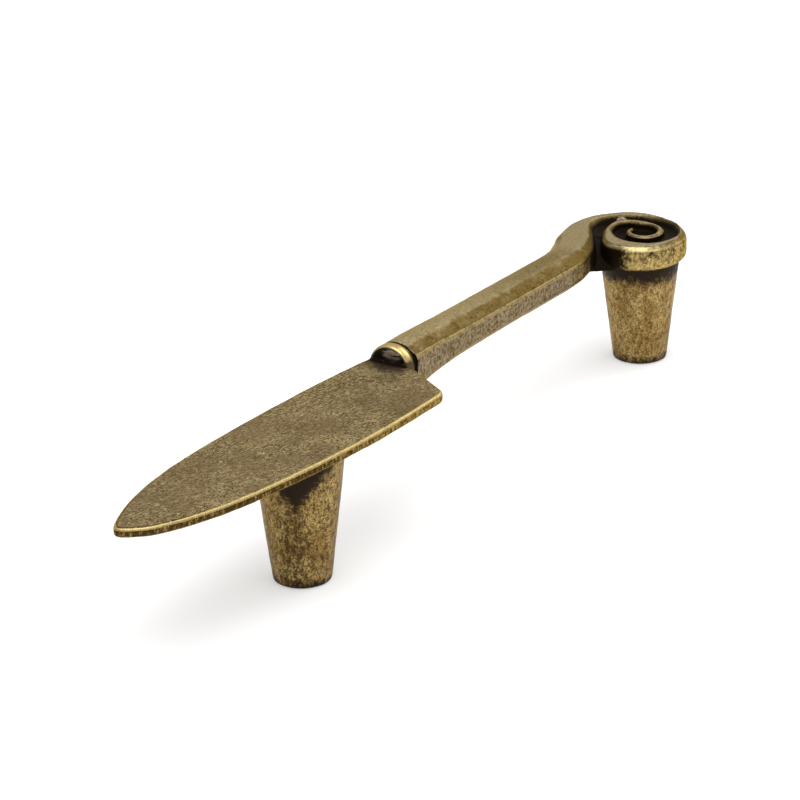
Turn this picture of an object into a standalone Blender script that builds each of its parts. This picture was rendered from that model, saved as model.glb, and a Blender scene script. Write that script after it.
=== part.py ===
# Knife-shaped cabinet handle: one metal casting with a blade, a bolster, a grip, a scroll and two posts.
# Units are metres. X runs along the knife from the blade's tip to the scroll, +Y is the side of the
# blade's spine, and +Z points away from the drawer front, which the feet stand on at Z = 0.
# While it is modelled, the blade's post stands at X = 0, Y = 0. At the end the casting is moved so that
# the middle of its outline lies at the origin.

import math

import bmesh
import bpy
from mathutils import Matrix, Vector

# Posts: two tapered pegs, narrow at the foot, one hole spacing apart.
HOLE_SPACING = 0.096
POST_FOOT_RADIUS = 0.0042
POST_FLARE = 0.123
FOOT_ROUNDING = 0.0003
SCREW_HOLE_RADIUS = 0.00165
SCREW_HOLE_DEPTH = 0.0115
SCREW_HOLE_POINT = 0.0010
SCREW_HOLE_CHAMFER = 0.0005

# Blade: a flat plate with rounded edges. Reaches are measured from the blade's post along the knife,
# and offsets across it.
BLADE_TOP = 0.0210
BLADE_THICKNESS = 0.0015
BLADE_EDGE_RADIUS = 0.0006
TIP_REACH = 0.0370
TIP_OFFSET = 0.0043
CROWN_REACH = 0.0090
CROWN_OFFSET = 0.0106
SPINE_ROOT_OFFSET = 0.0079
BELLY_REACH = 0.0205
BELLY_OFFSET = 0.0047
BELLY_SLOPE = 0.205
EDGE_OFFSET = 0.0085
EDGE_STRAIGHT_REACH = 0.0150
HEEL_REACH = 0.0252
HEEL_RADIUS = 0.0017
HEEL_ROOT_OFFSET = 0.00135

# How the blade's outline curves through its knots: the rounded tip's two shoulders, measured from the
# tip, and the curve handles on the way in and out of each knot.
TIP_SPINE_SIDE = (0.0016, 0.00175)
TIP_EDGE_SIDE = (0.0018, -0.00295)
TIP_SPINE_HANDLES = ((0.0060, 0.0029), (-0.0009, -0.0005))
TIP_HANDLES = ((0, 0.00077), (0, -0.00077))
TIP_EDGE_HANDLES = ((-0.0009, 0.0011), (0.0014, -0.0017))
SPINE_ROOT_HANDLE = (-0.0050, 0.0013)
CROWN_HANDLES = ((0.0140, 0), (-0.0120, 0))
BELLY_HANDLES = (0.0065, 0.0100)
EDGE_HANDLES = ((-0.0100, 0), (0.0030, 0))
HEEL_HANDLE = 0.0010

# Bolster: a round bead between the blade and the grip, with a narrow groove behind it.
BOLSTER_FRONT = 0.0302
BOLSTER_LENGTH = 0.0019
BOLSTER_RADIUS = 0.00355
BOLSTER_FACE_ROUNDING = 0.00065
BOLSTER_BACK_ROUNDING = 0.0004
GROOVE_LENGTH = 0.0007
GROOVE_RADIUS = 0.0028
GROOVE_SINK = 0.0007

# Grip: a bar of soft eight-sided section, a little lower at the scroll than at the bolster.
GRIP_OFFSET = 0.0045
GRIP_AXIS_HEIGHT = 0.0200
GRIP_WIDTH = 0.0071
GRIP_CROWN = 0.0003
SHOULDER_WIDTH = 0.0020
SHOULDER_HEIGHT = 0.0014
KEEL_WIDTH = 0.0020
KEEL_HEIGHT = 0.0018
CORNER_SOFTENING = 0.22

# The grip's side view: how far along it, as a share of its length, then how high its top lies above
# the grip's axis and how far its underside lies below it.
GRIP_HEIGHTS = [
    (0.00, 0.0031, 0.0048),
    (0.10, 0.0031, 0.0042),
    (0.28, 0.00275, 0.0036),
    (0.55, 0.0024, 0.0036),
    (1.00, 0.0019, 0.0040),
]

# Scroll: the grip's end, wound clockwise into a disc with a raised spiral ridge on its top.
SCROLL_TOP = 0.0210
SCROLL_UNDERSIDE = 0.0168
SPIRAL_DEPTH = 0.0013
RIM_TOP_ROUNDING = 0.0007
RIM_FOOT_ROUNDING = 0.0006
RIDGE_ROUNDING = 0.0003
RIDGE_ROOT = 0.0005

# The neck between the grip and the scroll: its near and its far edge in plan, measured from the
# scroll's centre, then how far its section has changed from the grip's to the scroll's.
NECK = [
    (-0.0140, 0.0013, -0.0145, 0.0083, 0.15),
    (-0.0098, 0.0026, -0.0108, 0.0094, 0.45),
    (-0.0062, 0.0045, -0.0078, 0.0106, 0.85),
]

# The web at the foot of the notch between the grip and the disc, in plan from the scroll's centre: its
# open edge and its inner edge, each from the grip's side to the disc's. Its top rises inwards, from its
# thickness at the open edge to a small step below the disc's floor.
WEB_OPEN_EDGE = (-0.0110, 0.0036, -0.0074, -0.0006)
WEB_INNER_EDGE = (-0.0020, 0.0074, -0.0022, 0.0040)
WEB_THICKNESS = 0.0006
WEB_STEP = 0.0001

# The band that winds up into the scroll: the angle from +X about the scroll's centre, then the band's
# inner and outer radius there. The outer turn is the disc's rim, and the rest is the ridge.
BAND = [
    (114, 0.0071, 0.0123),
    (88, 0.0078, 0.0112),
    (60, 0.0070, 0.0100),
    (28, 0.0060, 0.0089),
    (-5, 0.0058, 0.0077),
    (-45, 0.0056, 0.0073),
    (-90, 0.0053, 0.0075),
    (-130, 0.0053, 0.0079),
    (-165, 0.0045, 0.0081),
    (-190, 0.0040, 0.0079),
    (-225, 0.0039, 0.0062),
    (-260, 0.0043, 0.0057),
    (-295, 0.0041, 0.0056),
    (-330, 0.0031, 0.0047),
    (-365, 0.0030, 0.0040),
    (-420, 0.0026, 0.0038),
    (-490, 0.0023, 0.0034),
    (-560, 0.0014, 0.0025),
    (-640, 0.0010, 0.0019),
]
RIM_END = -235

# The stretch between the grip's last straight section and the neck's first.
GRIP_END_GAP = 0.0040

# How finely the curves are cut, and how close two points are before they are merged.
ROUND_STEPS = 48
FILLET_STEPS = 3
OUTLINE_STEPS = 10
BAND_STEP = 12
GRIP_STEPS = 9
SHARP_ANGLE = 35
MERGE_DISTANCE = 0.000001


def scroll_point(angle, radius):
    """A point in plan at an angle in degrees and a radius about the scroll's centre."""
    turn = math.radians(angle)
    return Vector((HOLE_SPACING + radius * math.cos(turn), radius * math.sin(turn)))


def smooth(keys, place):
    """Read a list of keyed values at a place, with a smooth curve through the keys."""
    last = len(keys) - 1
    index = 0
    while index < last - 1 and place > keys[index + 1][0]:
        index += 1
    start, end = keys[index], keys[index + 1]
    before, after = keys[max(index - 1, 0)], keys[min(index + 2, last)]
    width = end[0] - start[0]
    part = (place - start[0]) / width
    values = []
    for column in range(1, len(start)):
        leave = (end[column] - before[column]) / (end[0] - before[0]) * width
        arrive = (after[column] - start[column]) / (after[0] - start[0]) * width
        square, cube = part * part, part * part * part
        values.append(
            (2 * cube - 3 * square + 1) * start[column]
            + (cube - 2 * square + part) * leave
            + (3 * square - 2 * cube) * end[column]
            + (cube - square) * arrive
        )
    return values


def add_object(name, mesh, collection):
    item = bpy.data.objects.new(name, mesh)
    collection.objects.link(item)
    return item


def mesh_from_object(item, name, collection):
    """Turn an evaluated curve or modified object into a plain closed mesh and drop the original."""
    graph = bpy.context.evaluated_depsgraph_get()
    mesh = bpy.data.meshes.new_from_object(item.evaluated_get(graph))
    work = bmesh.new()
    work.from_mesh(mesh)
    bmesh.ops.remove_doubles(work, verts=work.verts, dist=MERGE_DISTANCE)
    bmesh.ops.recalc_face_normals(work, faces=work.faces)
    work.to_mesh(mesh)
    work.free()
    place = item.matrix_world.copy()
    bpy.data.objects.remove(item)
    solid = add_object(name, mesh, collection)
    solid.matrix_world = place
    return solid


def turned(name, profile, place, collection):
    """Turn a profile of (radius, height) pairs, outer side from top to bottom, about Z."""
    mesh = bpy.data.meshes.new(name)
    mesh.from_pydata([(r, 0, z) for r, z in profile], [(i, i + 1) for i in range(len(profile) - 1)], [])
    item = add_object(name, mesh, collection)
    screw = item.modifiers.new("Turn", "SCREW")
    screw.steps = ROUND_STEPS
    screw.render_steps = ROUND_STEPS
    screw.use_merge_vertices = True
    screw.merge_threshold = MERGE_DISTANCE
    item.matrix_world = place
    bpy.context.view_layer.update()
    return mesh_from_object(item, name, collection)


def fillet(centre_radius, centre_height, radius, start, end):
    """Points of a rounded corner in a turned profile, its angles in degrees from the radius axis."""
    points = []
    for step in range(FILLET_STEPS + 1):
        angle = math.radians(start + (end - start) * step / FILLET_STEPS)
        points.append((centre_radius + radius * math.cos(angle), centre_height + radius * math.sin(angle)))
    return points


def post(name, x, top, collection):
    """A tapered post from its top, sunk in the head above it, down to its rounded foot."""
    foot = fillet(POST_FOOT_RADIUS - FOOT_ROUNDING, FOOT_ROUNDING, FOOT_ROUNDING, 0, -90)
    profile = [(0, top), (POST_FOOT_RADIUS + POST_FLARE * top, top)] + foot + [(0, 0)]
    return turned(name, profile, Matrix.Translation((x, 0, 0)), collection)


def screw_hole(name, x, collection):
    """The cutter of a blind screw hole in a foot, with a small chamfer at its mouth."""
    mouth = SCREW_HOLE_RADIUS + SCREW_HOLE_CHAMFER
    outside = -SCREW_HOLE_CHAMFER
    profile = [
        (0, SCREW_HOLE_DEPTH + SCREW_HOLE_POINT),
        (SCREW_HOLE_RADIUS, SCREW_HOLE_DEPTH),
        (SCREW_HOLE_RADIUS, SCREW_HOLE_CHAMFER),
        (mouth, 0),
        (mouth, outside),
        (0, outside),
    ]
    cutter = turned(name, profile, Matrix.Translation((x, 0, 0)), collection)
    cutter.hide_render = True
    cutter.display_type = "WIRE"
    return cutter


def blade(collection):
    """The blade: a flat outline between the tip and the bolster, thickened, with rounded edges."""
    root = BOLSTER_FRONT + BOLSTER_LENGTH / 2
    tip = Vector((-TIP_REACH, TIP_OFFSET))
    belly = Vector((1, -BELLY_SLOPE)).normalized()
    heel = Vector((HEEL_REACH, -EDGE_OFFSET))
    heel_back = Vector((BOLSTER_FRONT - HEEL_REACH, HEEL_ROOT_OFFSET + EDGE_OFFSET)).normalized()
    knots = [
        ((root, HEEL_ROOT_OFFSET), None, None),
        ((root, SPINE_ROOT_OFFSET), None, SPINE_ROOT_HANDLE),
        ((-CROWN_REACH, CROWN_OFFSET), *CROWN_HANDLES),
        (tip + Vector(TIP_SPINE_SIDE), *TIP_SPINE_HANDLES),
        (tip, *TIP_HANDLES),
        (tip + Vector(TIP_EDGE_SIDE), *TIP_EDGE_HANDLES),
        ((-BELLY_REACH, -BELLY_OFFSET), belly * -BELLY_HANDLES[0], belly * BELLY_HANDLES[1]),
        ((EDGE_STRAIGHT_REACH, -EDGE_OFFSET), *EDGE_HANDLES),
        (heel - Vector((HEEL_RADIUS, 0)), None, (HEEL_HANDLE, 0)),
        (heel + heel_back * HEEL_RADIUS, heel_back * -HEEL_HANDLE, None),
    ]
    curve = bpy.data.curves.new("blade", "CURVE")
    curve.dimensions = "2D"
    curve.fill_mode = "BOTH"
    curve.extrude = BLADE_THICKNESS / 2 - BLADE_EDGE_RADIUS
    curve.bevel_depth = BLADE_EDGE_RADIUS
    curve.offset = -BLADE_EDGE_RADIUS
    curve.bevel_resolution = FILLET_STEPS - 1
    curve.resolution_u = OUTLINE_STEPS
    line = curve.splines.new("BEZIER")
    line.bezier_points.add(len(knots) - 1)
    line.use_cyclic_u = True
    for index, (place, arrive, leave) in enumerate(knots):
        place = Vector(place)
        before = Vector(knots[index - 1][0])
        after = Vector(knots[(index + 1) % len(knots)][0])
        knot = line.bezier_points[index]
        knot.handle_left_type = "FREE"
        knot.handle_right_type = "FREE"
        knot.co = (*place, 0)
        knot.handle_left = (*(place + (Vector(arrive) if arrive else (before - place) / 3)), 0)
        knot.handle_right = (*(place + (Vector(leave) if leave else (after - place) / 3)), 0)
    item = bpy.data.objects.new("blade", curve)
    collection.objects.link(item)
    item.location = (0, 0, BLADE_TOP - BLADE_THICKNESS / 2)
    bpy.context.view_layer.update()
    return mesh_from_object(item, "blade", collection)


def bolster(collection):
    """The bead and the groove behind it, turned about the grip's axis and sunk into the grip."""
    face, back = BOLSTER_FACE_ROUNDING, BOLSTER_BACK_ROUNDING
    foot = -GROOVE_LENGTH - GROOVE_SINK
    profile = [(0, BOLSTER_LENGTH)]
    profile += reversed(fillet(BOLSTER_RADIUS - face, BOLSTER_LENGTH - face, face, 0, 90))
    profile += fillet(BOLSTER_RADIUS - back, back, back, 0, -90)
    profile += [(GROOVE_RADIUS, 0), (GROOVE_RADIUS, foot), (0, foot)]
    place = Matrix.Translation((BOLSTER_FRONT + BOLSTER_LENGTH, GRIP_OFFSET, GRIP_AXIS_HEIGHT))
    return turned("bolster", profile, place @ Matrix.Rotation(math.radians(-90), 4, "Y"), collection)


def section(near, far, top, underside, shoulder, keel, crown):
    """An eight-sided section with softened corners and a crowned top, between two points in plan."""
    across = far - near
    width = across.length
    across.normalize()
    shoulder_width, shoulder_height = shoulder
    keel_width, keel_height = keel
    middle = (width / 2, top + crown)
    corners = [
        (0, underside + keel_height),
        (0, top - shoulder_height),
        (shoulder_width, top),
        middle,
        (width - shoulder_width, top),
        (width, top - shoulder_height),
        (width, underside + keel_height),
        (width - keel_width, underside),
        (keel_width, underside),
    ]
    points = []
    for index, corner in enumerate(corners):
        here = Vector(corner)
        if corner == middle:
            points.append(here)
            continue
        for other in (corners[index - 1], corners[(index + 1) % len(corners)]):
            step = Vector(other) - here
            points.append(here + step * CORNER_SOFTENING)
    return [(*(near + across * u), z) for u, z in points]


def blend(sizes, end, share):
    """Move each of the sizes a share of the way towards one end value."""
    return [size + (end - size) * share for size in sizes]


def bar_stations():
    """Sections along the grip and the neck, from the groove to the start of the scroll's band."""
    start = BOLSTER_FRONT + BOLSTER_LENGTH + GROOVE_LENGTH
    centre = HOLE_SPACING
    length = centre + NECK[0][0] - GRIP_END_GAP - start
    near, far = GRIP_OFFSET - GRIP_WIDTH / 2, GRIP_OFFSET + GRIP_WIDTH / 2
    keys = []
    for step in range(GRIP_STEPS + 1):
        share = step / GRIP_STEPS
        x = start + length * share
        rise, drop = smooth(GRIP_HEIGHTS, share)
        keys.append((x, near, x, far, 0.0, GRIP_AXIS_HEIGHT + rise, GRIP_AXIS_HEIGHT - drop))
    grip_top, grip_underside = keys[-1][-2:]
    for near_x, near_y, far_x, far_y, change in NECK:
        top = grip_top + (SCROLL_TOP - grip_top) * change
        underside = grip_underside + (SCROLL_UNDERSIDE - grip_underside) * change
        keys.append((centre + near_x, near_y, centre + far_x, far_y, change, top, underside))
    angle, inner, outer = BAND[0]
    near, far = scroll_point(angle, inner), scroll_point(angle, outer)
    keys.append((*near, *far, 1.0, SCROLL_TOP, SCROLL_UNDERSIDE))
    keys = [(index, *key) for index, key in enumerate(keys)]
    places = list(range(GRIP_STEPS)) + [GRIP_STEPS + part / 2 for part in range(2 * len(NECK) + 2)]
    stations = []
    for place in places:
        near_x, near_y, far_x, far_y, change, top, underside = smooth(keys, place)
        near, far = Vector((near_x, near_y)), Vector((far_x, far_y))
        shoulder = blend((SHOULDER_WIDTH, SHOULDER_HEIGHT), RIM_TOP_ROUNDING, change)
        keel = blend((KEEL_WIDTH, KEEL_HEIGHT), RIM_FOOT_ROUNDING, change)
        crown = GRIP_CROWN * (1 - change)
        stations.append(section(near, far, top, underside, shoulder, keel, crown))
    return stations


def band_stations():
    """Sections along the scroll's band: the full-height rim, then the ridge that winds inwards."""
    keys = [(-angle, inner, outer) for angle, inner, outer in BAND]
    steps = round((BAND[0][0] - BAND[-1][0]) / BAND_STEP)
    stations = []
    for step in range(steps + 1):
        angle = BAND[0][0] + (BAND[-1][0] - BAND[0][0]) * step / steps
        inner, outer = smooth(keys, -angle)
        near, far = scroll_point(angle, inner), scroll_point(angle, outer)
        underside = SCROLL_UNDERSIDE
        shoulder, keel = RIM_TOP_ROUNDING, RIM_FOOT_ROUNDING
        if angle < RIM_END:
            underside = SCROLL_TOP - SPIRAL_DEPTH - RIDGE_ROOT
            shoulder, keel = RIDGE_ROUNDING, RIDGE_ROUNDING
        stations.append(section(near, far, SCROLL_TOP, underside, [shoulder] * 2, [keel] * 2, 0.0))
    return stations


def web(collection):
    """The web that closes the foot of the notch: its top rises from the open edge to the disc's floor."""
    inner_top = SCROLL_TOP - SPIRAL_DEPTH - WEB_STEP
    stations = []
    for edge, top in ((WEB_OPEN_EDGE, SCROLL_UNDERSIDE + WEB_THICKNESS), (WEB_INNER_EDGE, inner_top)):
        grip_x, disc_x = HOLE_SPACING + edge[0], HOLE_SPACING + edge[2]
        stations.append(
            [
                (grip_x, edge[1], SCROLL_UNDERSIDE),
                (grip_x, edge[1], top),
                (disc_x, edge[3], top),
                (disc_x, edge[3], SCROLL_UNDERSIDE),
            ]
        )
    return loft("web", stations, collection)


def disc(collection):
    """The scroll's floor: it fills the inside of the rim, out to the middle of the rim's band."""
    keys = [(-angle, inner, outer) for angle, inner, outer in BAND]
    start = BAND[0][0] - BAND_STEP
    steps = round((start - RIM_END) / BAND_STEP)
    top = SCROLL_TOP - SPIRAL_DEPTH
    curve = bpy.data.curves.new("disc", "CURVE")
    curve.dimensions = "2D"
    curve.fill_mode = "BOTH"
    curve.extrude = (top - SCROLL_UNDERSIDE) / 2
    line = curve.splines.new("POLY")
    line.points.add(steps)
    line.use_cyclic_u = True
    for step in range(steps + 1):
        angle = start + (RIM_END - start) * step / steps
        line.points[step].co = (*scroll_point(angle, sum(smooth(keys, -angle)) / 2), 0, 1)
    item = bpy.data.objects.new("disc", curve)
    collection.objects.link(item)
    item.location = (0, 0, (top + SCROLL_UNDERSIDE) / 2)
    bpy.context.view_layer.update()
    return mesh_from_object(item, "disc", collection)


def loft(name, stations, collection):
    """A closed solid through a row of sections that all have the same number of points."""
    count = len(stations[0])
    points = [point for station in stations for point in station]
    faces = []
    for row in range(len(stations) - 1):
        for index in range(count):
            here, beside = row * count + index, row * count + (index + 1) % count
            faces.append((here, beside, beside + count, here + count))
    faces.append(tuple(reversed(range(count))))
    faces.append(tuple(range(len(points) - count, len(points))))
    mesh = bpy.data.meshes.new(name)
    mesh.from_pydata(points, [], faces)
    work = bmesh.new()
    work.from_mesh(mesh)
    bmesh.ops.recalc_face_normals(work, faces=work.faces)
    bmesh.ops.triangulate(work, faces=work.faces)
    work.to_mesh(mesh)
    work.free()
    return add_object(name, mesh, collection)


def brass():
    """Antique brass: dull olive gold metal."""
    material = bpy.data.materials.new("antique_brass")
    material.use_nodes = True
    surface = material.node_tree.nodes["Principled BSDF"]
    surface.inputs["Base Color"].default_value = (0.36, 0.28, 0.13, 1)
    surface.inputs["Metallic"].default_value = 1.0
    surface.inputs["Roughness"].default_value = 0.42
    return material


def combine(body, others, operation):
    """Join shapes to the body or cut them from it, and drop those that were joined."""
    for other in others:
        step = body.modifiers.new(other.name, "BOOLEAN")
        step.operation = operation
        step.solver = "EXACT"
        step.use_self = True
        step.object = other
    bpy.context.view_layer.update()
    graph = bpy.context.evaluated_depsgraph_get()
    mesh = bpy.data.meshes.new_from_object(body.evaluated_get(graph))
    body.modifiers.clear()
    body.data = mesh
    if operation == "UNION":
        for other in others:
            bpy.data.objects.remove(other)


def build():
    for item in list(bpy.data.objects):
        bpy.data.objects.remove(item)
    parts = bpy.data.collections.new("knife_handle")
    cutters = bpy.data.collections.new("cutters")
    bpy.context.scene.collection.children.link(parts)
    bpy.context.scene.collection.children.link(cutters)

    blade_post_top = BLADE_TOP - BLADE_THICKNESS / 2
    scroll_post_top = (SCROLL_UNDERSIDE + SCROLL_TOP - SPIRAL_DEPTH) / 2
    handle = loft("knife_handle", bar_stations() + band_stations(), parts)
    shapes = [
        disc(parts),
        web(parts),
        bolster(parts),
        blade(parts),
        post("blade_post", 0, blade_post_top, parts),
        post("scroll_post", HOLE_SPACING, scroll_post_top, parts),
    ]
    combine(handle, shapes, "UNION")
    holes = [
        screw_hole("blade_post_hole", 0, cutters),
        screw_hole("scroll_post_hole", HOLE_SPACING, cutters),
    ]
    combine(handle, holes, "DIFFERENCE")

    xs, ys = [[vertex.co[axis] for vertex in handle.data.vertices] for axis in (0, 1)]
    middle = Vector(((min(xs) + max(xs)) / 2, (min(ys) + max(ys)) / 2, 0))
    handle.data.transform(Matrix.Translation(-middle))
    for hole in holes:
        hole.location -= middle
    handle.data.materials.clear()
    handle.data.materials.append(brass())
    handle.data.shade_smooth()
    handle.data.set_sharp_from_angle(angle=math.radians(SHARP_ANGLE))


build()
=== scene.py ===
import math

import bmesh
import bpy
from mathutils import Matrix, Vector


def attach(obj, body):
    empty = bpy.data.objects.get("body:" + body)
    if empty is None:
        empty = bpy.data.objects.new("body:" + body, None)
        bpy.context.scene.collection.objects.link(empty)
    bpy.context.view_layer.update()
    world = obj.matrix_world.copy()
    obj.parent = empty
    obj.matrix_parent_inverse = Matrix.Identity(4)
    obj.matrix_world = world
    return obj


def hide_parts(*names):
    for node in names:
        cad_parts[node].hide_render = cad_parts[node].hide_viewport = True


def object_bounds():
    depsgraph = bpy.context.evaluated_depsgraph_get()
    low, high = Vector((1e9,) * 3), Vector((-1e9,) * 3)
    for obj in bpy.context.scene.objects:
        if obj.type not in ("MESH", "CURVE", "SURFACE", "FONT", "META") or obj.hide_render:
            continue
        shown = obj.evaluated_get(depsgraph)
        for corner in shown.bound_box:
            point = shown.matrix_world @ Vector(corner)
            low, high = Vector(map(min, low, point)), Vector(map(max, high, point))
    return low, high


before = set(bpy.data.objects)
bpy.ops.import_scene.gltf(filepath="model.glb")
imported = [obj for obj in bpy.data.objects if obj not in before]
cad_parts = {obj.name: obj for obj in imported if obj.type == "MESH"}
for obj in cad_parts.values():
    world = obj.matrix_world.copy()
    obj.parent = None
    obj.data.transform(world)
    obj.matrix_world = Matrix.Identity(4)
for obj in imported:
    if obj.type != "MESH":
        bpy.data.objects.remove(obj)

# Blade: a flat brass plate in the outline of a kitchen knife, cast in one with the rest. Tumbling
# has rounded its upper rim well and its lower rim only a little. Reaches are measured along the
# knife from the blade's post, which stands at the origin while the casting is modelled.
cad_low, cad_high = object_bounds()
BLADE_TOP = 0.0210
BLADE_THICKNESS = 0.0015
BLADE_UPPER_ROUNDING = 0.00062
BLADE_LOWER_ROUNDING = 0.00030
EDGE_OFFSET = 0.0085
TIP_REACH = 0.0370
BLADE_KNOTS = [
    ((0.03115, 0.00135), (-0.00173, -0.00278), (0, 0.00218)),
    ((0.03115, 0.00790), (0, -0.00218), (-0.0050, 0.0013)),
    ((-0.00900, 0.01060), (0.0140, 0), (-0.0120, 0)),
    ((-0.03540, 0.00605), (0.0060, 0.0029), (-0.0009, -0.0005)),
    ((-0.03700, 0.00430), (0, 0.00077), (0, -0.00077)),
    ((-0.03520, 0.00135), (-0.0009, 0.0011), (0.0014, -0.0017)),
    ((-0.02050, -0.00470), (-0.00637, 0.00131), (0.00980, -0.00201)),
    ((0.01500, -0.00850), (-0.0100, 0), (0.0030, 0)),
    ((0.02350, -0.00850), (-0.0028, 0), (0.0010, 0)),
    ((0.02597, -0.00698), (-0.00045, -0.00089), (0.00173, 0.00278)),
]
OUTLINE_STEPS = 14
HOME = Vector((cad_low[0] + TIP_REACH, cad_low[1] + EDGE_OFFSET, 0))


def deselect():
    """Leave nothing selected, neither here nor among what was loaded."""
    bpy.ops.object.select_all(action="DESELECT")


def mark(item, kind, rule):
    """In edit mode, select only the faces, edges or vertices that a rule names by their place."""
    bpy.ops.mesh.select_all(action="DESELECT")
    bpy.ops.mesh.select_mode(type={"faces": "FACE", "edges": "EDGE", "verts": "VERT"}[kind])
    shape = bmesh.from_edit_mesh(item.data)
    for part in getattr(shape, kind):
        if rule(part):
            part.select_set(True)
    shape.select_flush_mode()
    bmesh.update_edit_mesh(item.data)


def edge_at(height, axis=2):
    """A rule for edges that lie at one height along an axis."""
    return lambda edge: all(abs(vertex.co[axis] - height) < 0.00001 for vertex in edge.verts)


deselect()
bpy.ops.curve.primitive_bezier_circle_add(radius=EDGE_OFFSET)
blade = bpy.context.object
blade.name = "blade"
outline = blade.data.splines[0]
outline.bezier_points.add(len(BLADE_KNOTS) - len(outline.bezier_points))
for knot, (place, arrive, leave) in zip(outline.bezier_points, BLADE_KNOTS):
    knot.handle_left_type = "FREE"
    knot.handle_right_type = "FREE"
    knot.co = (*place, BLADE_TOP)
    knot.handle_left = knot.co + Vector((*arrive, 0))
    knot.handle_right = knot.co + Vector((*leave, 0))
blade.data.resolution_u = OUTLINE_STEPS
bpy.ops.object.convert(target="MESH")
bpy.ops.object.mode_set(mode="EDIT")
bpy.ops.mesh.select_all(action="SELECT")
bpy.ops.mesh.edge_face_add()
bpy.ops.mesh.extrude_region_move(TRANSFORM_OT_translate={"value": (0, 0, -BLADE_THICKNESS)})
mark(blade, "edges", edge_at(BLADE_TOP))
bpy.ops.mesh.bevel(offset=BLADE_UPPER_ROUNDING, segments=6, clamp_overlap=False)
mark(blade, "edges", edge_at(BLADE_TOP - BLADE_THICKNESS))
bpy.ops.mesh.bevel(offset=BLADE_LOWER_ROUNDING, segments=4, clamp_overlap=False)
bpy.ops.object.mode_set(mode="OBJECT")

# The blade's finish: antique brass. The whole casting is blackened, then tumbled and lightly
# brushed, so that dark patina stays in the hollows and on the flanks, and the rims are bare.
PATINA = (0.0070, 0.0034, 0.0013, 1)
GOLD = (0.640, 0.480, 0.190, 1)
BRIGHT_GOLD = (0.860, 0.700, 0.340, 1)
BLADE_OLIVE = (0.258, 0.198, 0.112, 1)
BLADE_PALE = (0.690, 0.565, 0.325, 1)
BLADE_BROWN = (0.050, 0.030, 0.015, 1)
BLADE_VIOLET = (0.215, 0.152, 0.103, 1)
FLANK_BROWN = (0.035, 0.016, 0.005, 1)
FLANK_GOLD = (0.400, 0.272, 0.096, 1)
SHADE_VIOLET = (0.085, 0.062, 0.046, 1)
EDGE_TINT = (0.80, 0.66, 0.42, 1)
EDGE_SHINE = 0.10
LACQUER_ROUGHNESS = 0.30
PATINA_METALLIC = 0.20
PATINA_DULLNESS = 0.18
SKIN_DEPTH = 0.00003
GRIP_OFFSET = 0.0045
BLADE_ROOT = (0.0306, 0.0045)
ROOT_REACH = (0.0036, 0.0044)
SHADE_PLACE = (0.0316, 0.0045)
SHADE_REACH = (0.0034, 0.0060)
WORN_SPAN = (-0.020, 0.028)
STAIN_SPAN = (-0.020, 0.020)
TIP_DARK_LINE_SPAN = (-0.031, -0.020)
JOINT_START = (0.0290, 0.0297)
JOINT_HALF_WIDTH = 0.0034


def add(tree, kind, inputs=None, **settings):
    """A new shader node with its settings, each named input given a value or a link."""
    node = tree.nodes.new("ShaderNode" + kind)
    for name, value in settings.items():
        setattr(node, name, value)
    for name, value in (inputs or {}).items():
        if isinstance(value, bpy.types.NodeSocket):
            tree.links.new(value, node.inputs[name])
        else:
            node.inputs[name].default_value = value
    return node


def reckon(tree, kind, first, second):
    """The result of one step of reckoning on masks or numbers, such as ADD or MAXIMUM."""
    return add(tree, "Math", {0: first, 1: second}, operation=kind).outputs[0]


def times(tree, *values):
    """The product of several masks or numbers."""
    total = values[0]
    for value in values[1:]:
        total = reckon(tree, "MULTIPLY", total, value)
    return total


def ramp(tree, value, low, high, first=0.0, last=1.0):
    """A value eased from one level to another between two limits."""
    inputs = {"Value": value, "From Min": low, "From Max": high, "To Min": first, "To Max": last}
    return add(tree, "MapRange", inputs, interpolation_type="SMOOTHSTEP").outputs["Result"]


def mix(tree, mask, under, over):
    """One colour laid over another through a mask."""
    return add(tree, "MixRGB", {"Fac": mask, "Color1": under, "Color2": over}).outputs["Color"]


def noise(tree, where, scale, detail=2.0, roughness=0.5):
    """The level of a noise pattern at a place, about 0.5 on the whole."""
    inputs = {"Vector": where, "Scale": scale, "Detail": detail, "Roughness": roughness}
    return add(tree, "TexNoise", inputs).outputs["Fac"]


def new_group(name, inputs, outputs):
    """An empty node group with its sockets, each input as (label, default value)."""
    tree = bpy.data.node_groups.new(name, "ShaderNodeTree")
    for label, value in inputs:
        socket = tree.interface.new_socket(label, in_out="INPUT", socket_type="NodeSocketFloat")
        socket.default_value = value
    for label in outputs:
        tree.interface.new_socket(label, in_out="OUTPUT", socket_type="NodeSocketFloat")
    return tree, tree.nodes.new("NodeGroupInput").outputs, tree.nodes.new("NodeGroupOutput").inputs


def use(tree, group, **inputs):
    """The first output of a node group placed in a material."""
    return add(tree, "Group", inputs, node_tree=group).outputs[0]


hollows, given, taken = new_group(
    "patina_in_hollows", [("Reach", 0.002), ("From", 0.1), ("To", 0.3), ("Ragged", 0.3)], ["Mask"]
)
where = add(hollows, "TexCoord").outputs["Object"]
shade = add(hollows, "AmbientOcclusion", {"Distance": given["Reach"]}, samples=8, only_local=True)
closed = reckon(hollows, "SUBTRACT", 1.0, shade.outputs["AO"])
rag = reckon(hollows, "SUBTRACT", noise(hollows, where, 1500, 5, 0.75), 0.5)
closed = reckon(hollows, "ADD", closed, times(hollows, rag, given["Ragged"]))
hollows.links.new(ramp(hollows, closed, given["From"], given["To"]), taken["Mask"])

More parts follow.
